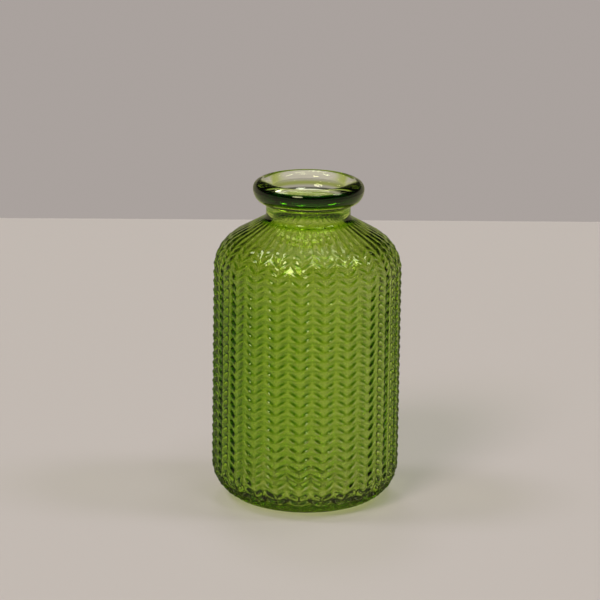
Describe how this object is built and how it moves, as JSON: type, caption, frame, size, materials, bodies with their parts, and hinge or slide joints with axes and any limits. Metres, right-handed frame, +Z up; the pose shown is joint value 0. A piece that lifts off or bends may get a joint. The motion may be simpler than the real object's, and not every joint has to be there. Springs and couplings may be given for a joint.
{
  "type": "glass bud vase",
  "caption": "Small bottle-shaped bud vase of translucent green glass with a beaded rim, a short neck, a domed shoulder and a herringbone relief round its body.",
  "frame": {"origin": "middle of the face that the vase stands on", "axes": "+Z up along the vase's axis, out of its mouth; X and Y level"},
  "size_m": [0.06, 0.06, 0.104],
  "materials": {
    "green_glass": "clear gloss"
  },
  "bodies": {
    "root": {"base": "green_glass", "body_wall": "green_glass", "shoulder": "green_glass", "neck": "green_glass", "rim": "green_glass"}
  },
  "joints": []
}
